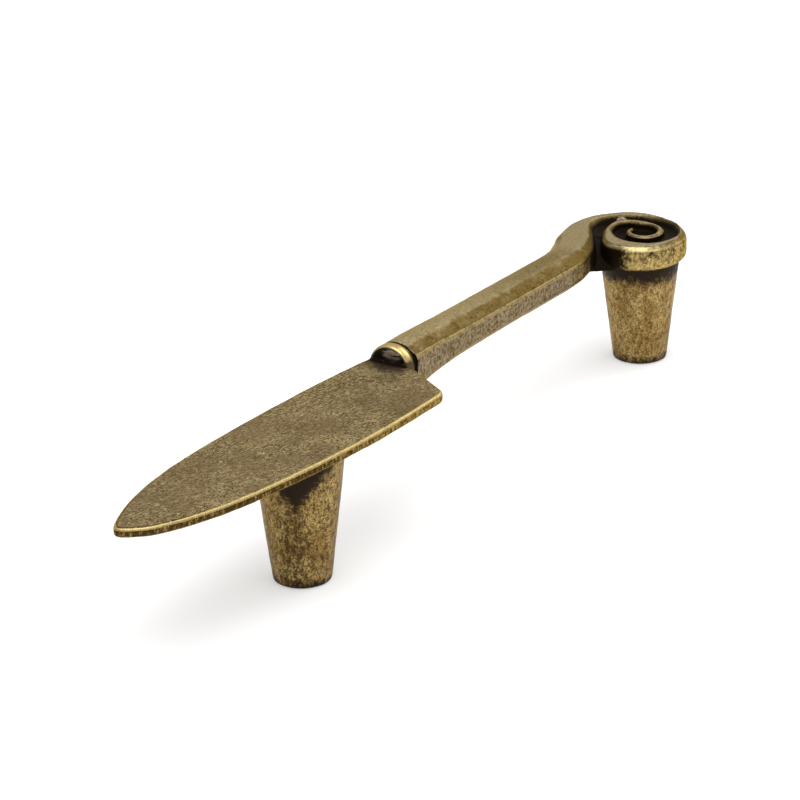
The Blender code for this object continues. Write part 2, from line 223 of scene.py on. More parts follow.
rims, given, taken = new_group(
    "bare_rims", [("Steep", 0.25), ("Flat", 0.96), ("Soft", 0.12), ("Ragged", 0.3)], ["Mask"]
)
place = add(rims, "TexCoord").outputs
tilt = add(rims, "SeparateXYZ", {0: place["Normal"]}).outputs["Z"]
rag = reckon(rims, "SUBTRACT", noise(rims, place["Object"], 1100, 5, 0.75), 0.5)
rag = times(rims, rag, given["Ragged"])
steep = reckon(rims, "ADD", reckon(rims, "SUBTRACT", tilt, given["Steep"]), rag)
flat = reckon(rims, "ADD", reckon(rims, "SUBTRACT", given["Flat"], tilt), times(rims, rag, 0.2))
flat = ramp(rims, flat, 0.0, times(rims, given["Soft"], 0.35))
rims.links.new(times(rims, ramp(rims, steep, 0.0, given["Soft"]), flat), taken["Mask"])

specks, given, taken = new_group(
    "specks",
    [("Scale", 1500), ("From", 0.5), ("To", 0.6), ("Rough", 0.78), ("Shift", 0.0)],
    ["Mask"],
)
where = add(specks, "TexCoord").outputs["Object"]
where = add(specks, "VectorMath", {0: where, 1: given["Shift"]}, operation="ADD").outputs[0]
level = noise(specks, where, given["Scale"], 6, given["Rough"])
specks.links.new(ramp(specks, level, given["From"], given["To"]), taken["Mask"])

scratches, given, taken = new_group(
    "scratches",
    [("Angle", 0.0), ("Along", 250), ("Across", 4000), ("From", 0.62), ("To", 0.7)],
    ["Mask"],
)
where = add(scratches, "TexCoord").outputs["Object"]
turn = add(scratches, "CombineXYZ", {"Z": given["Angle"]}).outputs[0]
where = add(scratches, "Mapping", {"Vector": where, "Rotation": turn}).outputs[0]
scale = {0: given["Along"], 1: given["Across"], 2: given["Across"]}
scale = add(scratches, "CombineXYZ", scale).outputs[0]
where = add(scratches, "VectorMath", {0: where, 1: scale}, operation="MULTIPLY").outputs[0]
level = noise(scratches, where, 1.0, 2, 0.5)
scratches.links.new(ramp(scratches, level, given["From"], given["To"]), taken["Mask"])


def antique_brass(name, lacquer):
    """A new metal: material, tree, shader, pattern's place, place from the post, and facing."""
    material = bpy.data.materials.new(name)
    material.use_nodes = True
    tree = material.node_tree
    surface = tree.nodes["Principled BSDF"]
    surface.inputs["Specular Tint"].default_value = EDGE_TINT
    surface.inputs["Specular IOR Level"].default_value = EDGE_SHINE
    surface.inputs["Coat Weight"].default_value = lacquer
    surface.inputs["Coat Roughness"].default_value = LACQUER_ROUGHNESS
    coords = add(tree, "TexCoord").outputs
    home = add(tree, "Mapping", {"Vector": coords["Object"], "Location": -HOME}).outputs[0]
    place = add(tree, "SeparateXYZ", {0: home}).outputs
    facing = add(tree, "SeparateXYZ", {0: coords["Normal"]}).outputs
    return material, tree, surface, coords["Object"], place, facing


def near(tree, place, x, y, inside, outside):
    """A mask round a place in plan, from 1 inside one radius to 0 outside another."""
    far = add(tree, "CombineXYZ", {"X": place["X"], "Y": place["Y"]}).outputs[0]
    far = add(tree, "VectorMath", {0: far, 1: (x, y, 0)}, operation="DISTANCE").outputs["Value"]
    return ramp(tree, far, inside, outside, 1.0, 0.0)


def dress(tree, surface, colour, dark, roughness, height, patina=PATINA):
    """Lay patina where the dark mask says, on the posts also painted shade, and give the metal its
    roughness and its skin.
    """
    colour = mix(tree, dark, colour, patina)
    relief = add(tree, "Bump", {"Strength": 1.0, "Distance": SKIN_DEPTH, "Height": height})
    tree.links.new(relief.outputs["Normal"], surface.inputs["Normal"])
    tree.links.new(colour, surface.inputs["Base Color"])
    tree.links.new(ramp(tree, dark, 0.0, 1.0, 1.0, PATINA_METALLIC), surface.inputs["Metallic"])
    duller = times(tree, dark, PATINA_DULLNESS)
    tree.links.new(reckon(tree, "ADD", roughness, duller), surface.inputs["Roughness"])


blade_brass, tree, surface, where, place, facing = antique_brass("antique_brass_blade", 0.0)
# The brushed face: cloudy olive brass under fine crossed scratches, glints and pits.
cloud = noise(tree, where, 150, 4, 0.7)
grain = noise(tree, where, 3000, 4, 0.85)
tone = noise(tree, where, 420, 4, 0.7)
worn = ramp(tree, place["X"], *WORN_SPAN, 0.08, -0.06)
worn = reckon(tree, "ADD", worn, ramp(tree, cloud, 0.36, 0.64, 0.0, 0.62))
colour = mix(tree, worn, BLADE_OLIVE, BLADE_PALE)
colour = mix(tree, ramp(tree, tone, 0.40, 0.66, 0.0, 0.55), colour, BLADE_VIOLET)
colour = mix(tree, ramp(tree, grain, 0.42, 0.56, 1.0, 0.0), colour, BLADE_BROWN)
fine = use(tree, scratches, Angle=0.25, Along=1100, Across=5400, From=0.55, To=0.65)
colour = mix(tree, times(tree, fine, 0.75), colour, BLADE_PALE)
cross = use(tree, scratches, Angle=1.0, Along=1400, Across=6400, From=0.53, To=0.63)
colour = mix(tree, times(tree, cross, 0.45), colour, BLADE_PALE)
glints = use(tree, specks, Scale=1900, From=0.54, To=0.63, Shift=0.3)
colour = mix(tree, times(tree, glints, 0.85), colour, BLADE_PALE)
pits = use(tree, specks, Scale=1600, From=0.54, To=0.64, Shift=0.7)
colour = mix(tree, times(tree, pits, 0.80), colour, BLADE_BROWN)
broad = noise(tree, where, 120, 4, 0.7)
colour = mix(tree, ramp(tree, broad, 0.46, 0.58, 0.0, 0.46), colour, BLADE_VIOLET)
# The bare rim, brightest on its crest.
rim = use(tree, rims, Steep=0.12, Flat=0.992, Soft=0.14, Ragged=0.35)
root = near(tree, place, *BLADE_ROOT, *ROOT_REACH)
rim = times(tree, rim, ramp(tree, root, 0.0, 1.0, 1.0, 0.0))
rim = times(tree, rim, ramp(tree, cloud, 0.30, 0.50, 0.65, 1.0))
rim_colour = mix(tree, ramp(tree, grain, 0.42, 0.60, 0.45, 0.0), GOLD, BLADE_BROWN)
colour = mix(tree, rim, colour, rim_colour)
crest = use(tree, rims, Steep=0.62, Flat=0.93, Soft=0.16, Ragged=0.50)
crest = times(tree, crest, ramp(tree, root, 0.0, 1.0, 0.35, 0.0))
colour = mix(tree, crest, colour, BRIGHT_GOLD)
# The stained flank, and a thin dark line where the top turns into the rim near the tip.
tall = add(tree, "VectorMath", {0: where, 1: (1, 1, 0.45)}, operation="MULTIPLY").outputs[0]
stain_level = noise(tree, tall, 1900, 6, 0.8)
tip_dark_line = ramp(tree, facing["Z"], 0.86, 0.95)
tip_dark_line = times(tree, tip_dark_line, ramp(tree, facing["Z"], 0.985, 0.999, 1.0, 0.0))
tip_dark_line = times(tree, tip_dark_line, ramp(tree, place["X"], *TIP_DARK_LINE_SPAN, 0.9, 0.15))
colour = mix(tree, times(tree, tip_dark_line, ramp(tree, stain_level, 0.35, 0.55)), colour, FLANK_BROWN)
low_rim = ramp(tree, facing["Z"], -0.20, -0.45)
flank = ramp(tree, facing["Z"], 0.25, 0.40, 1.0, 0.0)
flank = times(tree, flank, ramp(tree, low_rim, 0.0, 1.0, 1.0, 0.2))
colour = mix(tree, flank, colour, FLANK_GOLD)
near_tip = ramp(tree, place["X"], *STAIN_SPAN, 0.0, 0.09)
stain = reckon(tree, "SUBTRACT", stain_level, near_tip)
dark = times(tree, flank, ramp(tree, stain, 0.31, 0.51, 0.0, 0.95))
colour = mix(tree, dark, colour, FLANK_BROWN)
# A painted dark reflection of the bolster's black face on the blade's top at the root, and the
# patina in the corner under the bolster and the grip.
shade = near(tree, place, *SHADE_PLACE, *SHADE_REACH)
shade = times(tree, shade, 0.75, ramp(tree, facing["Z"], 0.6, 0.9))
colour = mix(tree, shade, colour, SHADE_VIOLET)
deep = use(tree, hollows, Reach=0.0024, From=0.08, To=0.30, Ragged=0.30)
joint = {0: place["Y"], 1: GRIP_OFFSET, 2: JOINT_HALF_WIDTH}
joint = add(tree, "Math", joint, operation="COMPARE").outputs[0]
joint = times(tree, joint, ramp(tree, place["X"], *JOINT_START))
joint = times(tree, joint, ramp(tree, facing["Z"], -0.2, 0.1))
deep = reckon(tree, "MAXIMUM", deep, joint)
dull = ramp(tree, grain, 0.3, 0.7, 0.30, 0.46)
height = reckon(tree, "ADD", grain, times(tree, fine, -0.5))
dress(tree, surface, colour, deep, dull, height)

# Bolster: a round brass bead across the blade's root, with two fine grooves and a thin ring between
# them where the grip begins. It is cast in one with the blade and the grip.
BOLSTER_FRONT = 0.0302
BOLSTER_LENGTH = 0.0019
BOLSTER_RADIUS = 0.00355
BOLSTER_FACE_ROUNDING = 0.00065
BOLSTER_BACK_ROUNDING = 0.00040
GROOVE_RADIUS = 0.00275
RING_RADIUS = 0.00310
GROOVE_WIDTH = 0.00024
GROOVE_SINK = 0.0007
GRIP_AXIS_HEIGHT = 0.0200

deselect()
bpy.ops.mesh.primitive_cylinder_add(
    vertices=72,
    radius=BOLSTER_RADIUS,
    depth=BOLSTER_LENGTH,
    location=(BOLSTER_FRONT + BOLSTER_LENGTH / 2, GRIP_OFFSET, GRIP_AXIS_HEIGHT),
    rotation=(0, math.pi / 2, 0),
)
bolster = bpy.context.object
bolster.name = "bolster"
bpy.ops.object.transform_apply(location=True, rotation=True, scale=True)
bpy.ops.object.mode_set(mode="EDIT")
mark(bolster, "edges", edge_at(BOLSTER_FRONT, 0))
bpy.ops.mesh.bevel(offset=BOLSTER_FACE_ROUNDING, segments=6)
mark(bolster, "edges", edge_at(BOLSTER_FRONT + BOLSTER_LENGTH, 0))
bpy.ops.mesh.bevel(offset=BOLSTER_BACK_ROUNDING, segments=5)
mark(bolster, "faces", lambda face: face.normal.x > 0.99)
bpy.ops.mesh.inset(thickness=BOLSTER_RADIUS - BOLSTER_BACK_ROUNDING - GROOVE_RADIUS)
for width, growth in (
    (GROOVE_WIDTH, RING_RADIUS / GROOVE_RADIUS),
    (GROOVE_WIDTH, GROOVE_RADIUS / RING_RADIUS),
    (GROOVE_WIDTH + GROOVE_SINK, 1),
):
    bpy.ops.mesh.extrude_region_move(TRANSFORM_OT_translate={"value": (width, 0, 0)})
    if growth != 1:
        bpy.ops.mesh.extrude_region_move()
        bpy.ops.transform.resize(value=(1, growth, growth))
bpy.ops.object.mode_set(mode="OBJECT")

BOLSTER_GREY = (0.520, 0.455, 0.385, 1)
BOLSTER_OLIVE = (0.330, 0.260, 0.140, 1)
FACE_STRETCH = 1.5
FACE_MIDDLE = (0, 0.0039, 0.0223 * FACE_STRETCH)
FACE_REACH = (0.0007, 0.0021)
GROOVES_START = (0.03195, 0.03210)
RING_PLACE = 0.03246
RING_HALF_WIDTH = 0.00011
BOLSTER_FOOT = (0.0211, 0.0221)

bolster_brass, tree, surface, where, place, facing = antique_brass("antique_brass_bolster", 0.0)
# The front face is black, and rubbed grey in its middle. The bead itself is bare gold.
front = ramp(tree, facing["X"], -0.95, -0.70, 1.0, 0.0)
middle = {"Y": place["Y"], "Z": times(tree, place["Z"], FACE_STRETCH)}
middle = {0: add(tree, "CombineXYZ", middle).outputs[0], 1: FACE_MIDDLE}
middle = add(tree, "VectorMath", middle, operation="DISTANCE").outputs["Value"]
middle = ramp(tree, middle, *FACE_REACH, 1.0, 0.0)
rubbed = use(tree, scratches, Angle=1.57, Along=500, Across=3000, From=0.28, To=0.60)
colour = mix(tree, use(tree, specks, Scale=900, From=0.50, To=0.66), GOLD, BLADE_PALE)
colour = mix(tree, ramp(tree, facing["Y"], 0.0, 0.8, 0.0, 0.75), colour, BOLSTER_OLIVE)
colour = mix(tree, front, colour, BOLSTER_GREY)
dark = times(tree, front, ramp(tree, times(tree, rubbed, middle), 0.0, 1.0, 1.0, 0.15))
# Patina fills the two grooves, and lies where the bead meets the blade.
deep = use(tree, hollows, Reach=0.0014, From=0.08, To=0.22, Ragged=0.15)
dark = reckon(tree, "MAXIMUM", dark, deep)
groove = ramp(tree, place["X"], *GROOVES_START)
ring = {0: place["X"], 1: RING_PLACE, 2: RING_HALF_WIDTH}
ring = add(tree, "Math", ring, operation="COMPARE").outputs[0]
groove = times(tree, groove, ramp(tree, ring, 0.0, 1.0, 1.0, 0.45))
dark = reckon(tree, "MAXIMUM", dark, groove)
skin = noise(tree, where, 1400, 3, 0.6)
low = reckon(tree, "ADD", place["Z"], times(tree, reckon(tree, "SUBTRACT", skin, 0.5), 0.002))
dark = reckon(tree, "MAXIMUM", dark, ramp(tree, low, *BOLSTER_FOOT, 0.90, 0.0))
dress(tree, surface, colour, dark, ramp(tree, skin, 0.3, 0.7, 0.20, 0.34), skin)

# Grip, neck and scroll: one cast brass bar of soft eight-sided section that thins towards its end,
# turns through the neck and winds clockwise into a disc. The outer turn is the disc's rim, and the
# rest stands up from the disc's floor as a spiral ridge.
HOLE_SPACING = 0.096
GRIP_START = 0.0328
GRIP_END = 0.0780
GRIP_WIDTH = 0.0071
GRIP_CROWN = 0.0003
SHOULDER = (0.0020, 0.0014)
KEEL = (0.0020, 0.0018)
CORNER_SOFTENING = 0.22
GRIP_HEIGHTS = [
    (0.00, 0.0031, 0.0048),
    (0.10, 0.0031, 0.0042),
    (0.28, 0.00275, 0.0036),
    (0.55, 0.0024, 0.0036),
    (1.00, 0.0019, 0.0040),
]
SCROLL_TOP = 0.0210
SCROLL_UNDERSIDE = 0.0168
SPIRAL_DEPTH = 0.0013
RIM_TOP_ROUNDING = 0.0009
RIM_FOOT_ROUNDING = 0.0006
RIDGE_ROUNDING = 0.0003
RIDGE_ROOT = 0.0005
NECK = [
    (-0.0140, 0.0013, -0.0145, 0.0083, 0.15),
    (-0.0098, 0.0026, -0.0108, 0.0094, 0.45),
    (-0.0062, 0.0045, -0.0078, 0.0106, 0.85),
]
BAND = [
    (-114, 0.0071, 0.0123),
    (-88, 0.0078, 0.0112),
    (-60, 0.0070, 0.0100),
    (-28, 0.0060, 0.0089),
    (5, 0.0058, 0.0077),
    (45, 0.0056, 0.0073),
    (90, 0.0053, 0.0075),
    (130, 0.0051, 0.0079),
    (165, 0.0043, 0.0081),
    (190, 0.0040, 0.0079),
    (225, 0.0039, 0.0062),
    (260, 0.0043, 0.0057),
    (295, 0.0044, 0.0058),
    (330, 0.0031, 0.0047),
    (365, 0.0030, 0.0040),
    (420, 0.0026, 0.0038),
    (490, 0.0023, 0.0034),
    (560, 0.0014, 0.0025),
    (640, 0.0010, 0.0019),
]
RIM_END = 235
RIDGE_EASING = 110
GRIP_KEYS = 9
GRIP_STEPS = 48
NECK_STEPS = 7
BAND_STEPS = 150


def smooth(keys, place):
    """Read a list of keyed values at a place, with a smooth curve through the keys."""
    last = len(keys) - 1
    index = 0
    while index < last - 1 and place > keys[index + 1][0]:
        index += 1
    start, end = keys[index], keys[index + 1]
    before, after = keys[max(index - 1, 0)], keys[min(index + 2, last)]
    width = end[0] - start[0]
    part = (place - start[0]) / width
    values = []
    for column in range(1, len(start)):
        leave = (end[column] - before[column]) / (end[0] - before[0]) * width
        arrive = (after[column] - start[column]) / (after[0] - start[0]) * width
        square, cube = part * part, part * part * part
        values.append(
            (2 * cube - 3 * square + 1) * start[column]
            + (cube - 2 * square + part) * leave
            + (3 * square - 2 * cube) * end[column]
            + (cube - square) * arrive
        )
    return values


def scroll_point(turn, radius):
    """A point in plan at a turn in degrees, clockwise from +X, about the scroll's centre."""
    return Vector((
        HOLE_SPACING + radius * math.cos(math.radians(turn)),
        -radius * math.sin(math.radians(turn)),
    ))


def section(near, far, top, underside, shoulder, keel, crown):
    """The bar's section between two points in plan: eight sides with rounded corners."""
    near, far = Vector(near), Vector(far)
    width = (far - near).length
    corners = [
        (0, underside + keel[1]),
        (0, top - shoulder[1]),
        (shoulder[0], top),
        (width / 2, top + crown),
        (width - shoulder[0], top),
        (width, top - shoulder[1]),
        (width, underside + keel[1]),
        (width - keel[0], underside),
        (keel[0], underside),
    ]
    points = []
    for index, corner in enumerate(corners):
        here = Vector(corner)
        arrive = here + (Vector(corners[index - 1]) - here) * CORNER_SOFTENING
        leave = here + (Vector(corners[(index + 1) % len(corners)]) - here) * CORNER_SOFTENING
        for step in (0, 1 / 3, 2 / 3, 1):
            points.append(arrive.lerp(here, step).lerp(here.lerp(leave, step), step))
    across = (far - near).normalized()
    return [Vector((*(near + across * u), z)) for u, z in points]


def towards(sizes, end, share):
    """Move each of the sizes a share of the way towards one end value."""
    return [size + (end - size) * share for size in sizes]


near_side, far_side = GRIP_OFFSET - GRIP_WIDTH / 2, GRIP_OFFSET + GRIP_WIDTH / 2
bar_keys = []
for step in range(GRIP_KEYS + 1):
    x = GRIP_START + (GRIP_END - GRIP_START) * step / GRIP_KEYS
    rise, drop = smooth(GRIP_HEIGHTS, step / GRIP_KEYS)
    grip_top, grip_underside = GRIP_AXIS_HEIGHT + rise, GRIP_AXIS_HEIGHT - drop
    bar_keys.append((step, x, near_side, x, far_side, 0, grip_top, grip_underside))
for near_x, near_y, far_x, far_y, change in NECK:
    top = grip_top + (SCROLL_TOP - grip_top) * change
    underside = grip_underside + (SCROLL_UNDERSIDE - grip_underside) * change
    plan = (HOLE_SPACING + near_x, near_y, HOLE_SPACING + far_x, far_y)
    bar_keys.append((len(bar_keys), *plan, change, top, underside))
turn, inner, outer = BAND[0]
band_start = (*scroll_point(turn, inner), *scroll_point(turn, outer))
bar_keys.append((len(bar_keys), *band_start, 1, SCROLL_TOP, SCROLL_UNDERSIDE))

bar_places = [GRIP_KEYS * step / GRIP_STEPS for step in range(GRIP_STEPS)]
bar_places += [GRIP_KEYS + step / NECK_STEPS for step in range((len(NECK) + 1) * NECK_STEPS)]
sections = []
for place in bar_places:
    near_x, near_y, far_x, far_y, change, top, underside = smooth(bar_keys, place)
    shoulder = towards(SHOULDER, RIM_TOP_ROUNDING, change)
    keel = towards(KEEL, RIM_FOOT_ROUNDING, change)
    crown = GRIP_CROWN * (1 - change)
    plan = ((near_x, near_y), (far_x, far_y))
    sections.append(section(*plan, top, underside, shoulder, keel, crown))
for step in range(BAND_STEPS + 1):
    turn = BAND[0][0] + (BAND[-1][0] - BAND[0][0]) * step / BAND_STEPS
    inner, outer = smooth(BAND, turn)
    plan = (scroll_point(turn, inner), scroll_point(turn, outer))
    share = min(max((turn - RIM_END) / RIDGE_EASING + 0.5, 0), 1)
    rounding = towards([RIM_TOP_ROUNDING] * 2, RIDGE_ROUNDING, share)
    if turn <= RIM_END:
        shape = (SCROLL_UNDERSIDE, rounding, [RIM_FOOT_ROUNDING] * 2)
    else:
        shape = (SCROLL_TOP - SPIRAL_DEPTH - RIDGE_ROOT, rounding, [RIDGE_ROUNDING] * 2)
    sections.append(section(*plan, SCROLL_TOP, *shape, 0))

deselect()
bpy.ops.mesh.primitive_circle_add(
    vertices=len(sections[0]), radius=GRIP_WIDTH / 2, fill_type="NGON"
)
bar = bpy.context.object
bar.name = "grip_and_scroll"
for vertex, point in zip(bar.data.vertices, sections[0]):
    vertex.co = point
bpy.ops.object.mode_set(mode="EDIT")
bpy.ops.mesh.select_mode(type="FACE")
bpy.ops.mesh.select_all(action="SELECT")
for before, after in zip(sections, sections[1:]):
    bpy.ops.mesh.extrude_region_move()
    shape = bmesh.from_edit_mesh(bar.data)
    for vertex in [vertex for vertex in shape.verts if vertex.select]:
        nearest = min(range(len(before)), key=lambda at: (before[at] - vertex.co).length_squared)
        vertex.co = after[nearest]
    bmesh.update_edit_mesh(bar.data)
bpy.ops.mesh.select_all(action="SELECT")
bpy.ops.mesh.normals_make_consistent(inside=False)
bpy.ops.object.mode_set(mode="OBJECT")

GRIP_TOP = (0.545, 0.450, 0.255, 1)
GRIP_SHOULDER = (0.150, 0.105, 0.040, 1)
GRIP_FLANK = (0.340, 0.278, 0.189, 1)
FLANK_PALE = (0.415, 0.355, 0.274, 1)
CORNER_GOLD = (0.520, 0.400, 0.185, 1)
STREAK_BROWN = (0.042, 0.022, 0.008, 1)
STAIN_BROWN = (0.048, 0.028, 0.008, 1)
NECK_OLIVE = (0.520, 0.440, 0.290, 1)
RIM_GOLD = (0.575, 0.418, 0.158, 1)
LUMP_GREY = (0.460, 0.370, 0.310, 1)
LUMP = (0.0037, 0.0053)
LUMP_REACH = (0.0007, 0.0012)
LUMP_RISE = (SCROLL_TOP - 0.0010, SCROLL_TOP - 0.0006)
SCROLL_SPAN = (0.0760, 0.0840)
FAR_END = (0.050, 0.074)
OUTER_SIDE = (0.0010, 0.0025)
# The side towards the camera in plan, where the rim's crest gets a painted highlight, and how far
# that reaches.
HIGHLIGHT_SIDE = (-0.90, -0.43)
HIGHLIGHT_REACH = (0.0050, 0.0074)
BLOTCH_RISE = (0.0180, 0.0198)
NOTCH = (HOLE_SPACING - 0.0083, 0.0028, 0)
NOTCH_REACH = (0.0038, 0.0055)
NOTCH_RISE = (SCROLL_TOP - 0.0008, SCROLL_TOP - 0.0002)
GROOVE_BELOW = (SCROLL_TOP - 0.0005, SCROLL_TOP - 0.0002)
GROOVE_ABOVE = (SCROLL_UNDERSIDE + 0.0008, SCROLL_UNDERSIDE + 0.0016)
GROOVE_DISC = (HOLE_SPACING, 0, 0.0060, 0.0067)
GROOVE_FAR_DISC = (HOLE_SPACING + 0.0004, 0.0024, 0.0055, 0.0061)
PATINA_RAGGEDNESS = 0.006

bar_brass, tree, surface, where, place, facing = antique_brass("antique_brass_bar", 0.0)
# The brushed top, the browner shoulders and the greyer flanks, with gold on the scroll's rim. The
# top's paler colour is partly a painted reflection of the bright room, and the flanks' paler colour
# where they face down is a painted reflection of the white table.
grain = noise(tree, where, 2800, 4, 0.85)
cloud = noise(tree, where, 400, 4, 0.7)
scroll = ramp(tree, place["X"], *SCROLL_SPAN)
rag = times(tree, reckon(tree, "SUBTRACT", cloud, 0.5), 0.25)
top = reckon(tree, "ADD", facing["Z"], rag)
top = ramp(tree, top, 0.80, 1.0)
far_end = ramp(tree, place["X"], *FAR_END, 0.0, 0.5)
colour = mix(tree, far_end, GRIP_TOP, GRIP_SHOULDER)
colour = mix(tree, top, GRIP_SHOULDER, mix(tree, scroll, colour, NECK_OLIVE))
flank = ramp(tree, facing["Z"], 0.15, 0.40, 1.0, 0.0)
# Painted reflection: the flanks turn paler where they face down towards the white table.
side = mix(tree, ramp(tree, facing["Z"], -0.65, -0.10, 1.0, 0.0), GRIP_FLANK, FLANK_PALE)
colour = mix(tree, flank, colour, mix(tree, scroll, side, RIM_GOLD))
rim = use(tree, rims, Steep=0.14, Flat=0.72, Soft=0.20, Ragged=0.25)
from_middle = reckon(tree, "SUBTRACT", place["X"], HOLE_SPACING)
outward = times(tree, from_middle, facing["X"])
outward = reckon(tree, "ADD", outward, times(tree, place["Y"], facing["Y"]))
outward = ramp(tree, outward, *OUTER_SIDE)
inner_side = reckon(tree, "SUBTRACT", scroll, outward)
rim = times(tree, rim, ramp(tree, inner_side, 0.0, 1.0, 1.0, 0.0))
colour = mix(tree, times(tree, rim, scroll, 0.8), colour, GOLD)
# Grains, stains and upright streaks of brown, which leave the grip's long corners bare.
smoothed = ramp(tree, facing["Z"], 0.30, 0.60, 0.85, 0.45)
grains = times(tree, ramp(tree, grain, 0.38, 0.56, 1.0, 0.0), smoothed)
colour = mix(tree, grains, colour, STREAK_BROWN)
stain = use(tree, specks, Scale=1500, From=0.46, To=0.62)
share = ramp(tree, facing["Z"], 0.80, 0.99, 0.85, 0.10)
share = times(tree, share, ramp(tree, noise(tree, where, 260, 3, 0.6), 0.40, 0.60, 0.25, 1.0))
stain_colour = mix(tree, flank, STAIN_BROWN, STREAK_BROWN)
colour = mix(tree, times(tree, stain, share), colour, stain_colour)
tall = add(tree, "VectorMath", {0: where, 1: (1, 1, 0.25)}, operation="MULTIPLY").outputs[0]
streak = ramp(tree, noise(tree, tall, 2600, 4, 0.7), 0.50, 0.62)
streak = times(tree, streak, flank, reckon(tree, "SUBTRACT", 1.0, scroll))
colour = mix(tree, times(tree, streak, 0.55), colour, STREAK_BROWN)
corner = times(tree, rim, reckon(tree, "SUBTRACT", 1.0, scroll))
corner = times(tree, corner, ramp(tree, stain, 0.0, 1.0, 0.75, 0.3))
colour = mix(tree, corner, colour, CORNER_GOLD)
# The scroll's outer rim: a bright gold crest, faint all round as wear and strongest on the side
# towards the camera as a painted highlight, and blotched with brown on its wall.
crest = use(tree, rims, Steep=0.34, Flat=0.84, Soft=0.24, Ragged=1.1)
# Painted highlight: the crest is brightened on the side of the disc that faces the camera.
wear_and_highlight = times(tree, from_middle, HIGHLIGHT_SIDE[0])
wear_and_highlight = reckon(tree, "ADD", wear_and_highlight, times(tree, place["Y"], HIGHLIGHT_SIDE[1]))
wear_and_highlight = ramp(tree, wear_and_highlight, *HIGHLIGHT_REACH, 0.10, 0.70)
wear_and_highlight = times(tree, wear_and_highlight, ramp(tree, noise(tree, where, 900, 3, 0.7), 0.40, 0.56, 0.35, 1.0))
colour = mix(tree, times(tree, crest, outward, scroll, wear_and_highlight), colour, BRIGHT_GOLD)
blotch = use(tree, specks, Scale=700, From=0.48, To=0.58, Rough=0.85, Shift=0.2)
blotch = times(tree, blotch, scroll, ramp(tree, facing["Z"], 0.30, 0.60, 0.92, 0.0))
blotch = times(tree, blotch, ramp(tree, place["Z"], *BLOTCH_RISE, 0.35, 1.0))
colour = mix(tree, blotch, colour, STREAK_BROWN)
# Patina blackens the notch and the scroll's groove, but not the lump in it.
deep = use(tree, hollows, Reach=0.0022, From=0.12, To=0.24, Ragged=0.22)
rag = reckon(tree, "SUBTRACT", noise(tree, where, 1500, 5, 0.75), 0.5)
rag = times(tree, rag, PATINA_RAGGEDNESS)
far = add(tree, "CombineXYZ", {"X": place["X"], "Y": place["Y"]}).outputs[0]
far = add(tree, "VectorMath", {0: far, 1: NOTCH}, operation="DISTANCE").outputs["Value"]
notch = ramp(tree, reckon(tree, "ADD", far, rag), *NOTCH_REACH, 1.0, 0.0)
notch = times(tree, notch, ramp(tree, place["Z"], *NOTCH_RISE, 1.0, 0.0))
bridge = near(tree, place, HOLE_SPACING + LUMP[0], LUMP[1], *LUMP_REACH)
bridge = times(tree, bridge, ramp(tree, place["Z"], *LUMP_RISE))
lump_colour = mix(tree, ramp(tree, stain, 0.0, 1.0, 0.0, 0.7), LUMP_GREY, STREAK_BROWN)
colour = mix(tree, bridge, colour, lump_colour)
sunk = reckon(tree, "ADD", place["Z"], times(tree, rag, 0.15))
sunk = ramp(tree, sunk, *GROOVE_BELOW, 1.0, 0.0)
groove = near(tree, place, *GROOVE_DISC)
groove = reckon(tree, "MAXIMUM", groove, near(tree, place, *GROOVE_FAR_DISC))
sunk = times(tree, sunk, groove, ramp(tree, bridge, 0.0, 1.0, 1.0, 0.1))
sunk = times(tree, sunk, ramp(tree, place["Z"], *GROOVE_ABOVE))
deep = times(tree, deep, ramp(tree, bridge, 0.0, 1.0, 1.0, 0.2))
dark = reckon(tree, "MAXIMUM", reckon(tree, "MAXIMUM", deep, notch), sunk)
dull = ramp(tree, grain, 0.3, 0.7, 0.28, 0.42)
dress(tree, surface, colour, dark, dull, grain)

# Scroll floor and web: the brass plate inside the rim, and the sloping web that closes the foot of
# the notch between the neck and the disc. Both are cast in one with the rest.
FLOOR_TURN_START = -102
FLOOR_STEPS = 56
FLOOR_RADIUS = 0.006
WEB_OPEN_EDGE = (-0.0110, 0.0036, -0.0074, -0.0006)
WEB_INNER_EDGE = (-0.0020, 0.0074, -0.0022, 0.0040)
WEB_THICKNESS = 0.0006
WEB_STEP = 0.0001

deselect()
bpy.ops.mesh.primitive_circle_add(vertices=FLOOR_STEPS + 1, radius=FLOOR_RADIUS, fill_type="NGON")
plate = bpy.context.object
plate.name = "scroll_floor"
for step, vertex in enumerate(plate.data.vertices):
    turn = FLOOR_TURN_START + (RIM_END - FLOOR_TURN_START) * step / FLOOR_STEPS
    vertex.co = (*scroll_point(turn, sum(smooth(BAND, turn)) / 2), SCROLL_TOP - SPIRAL_DEPTH)
bpy.ops.object.mode_set(mode="EDIT")
bpy.ops.mesh.select_all(action="SELECT")
drop = SCROLL_UNDERSIDE - SCROLL_TOP + SPIRAL_DEPTH
bpy.ops.mesh.extrude_region_move(TRANSFORM_OT_translate={"value": (0, 0, drop)})
bpy.ops.mesh.select_all(action="SELECT")
bpy.ops.mesh.normals_make_consistent(inside=False)
bpy.ops.object.mode_set(mode="OBJECT")

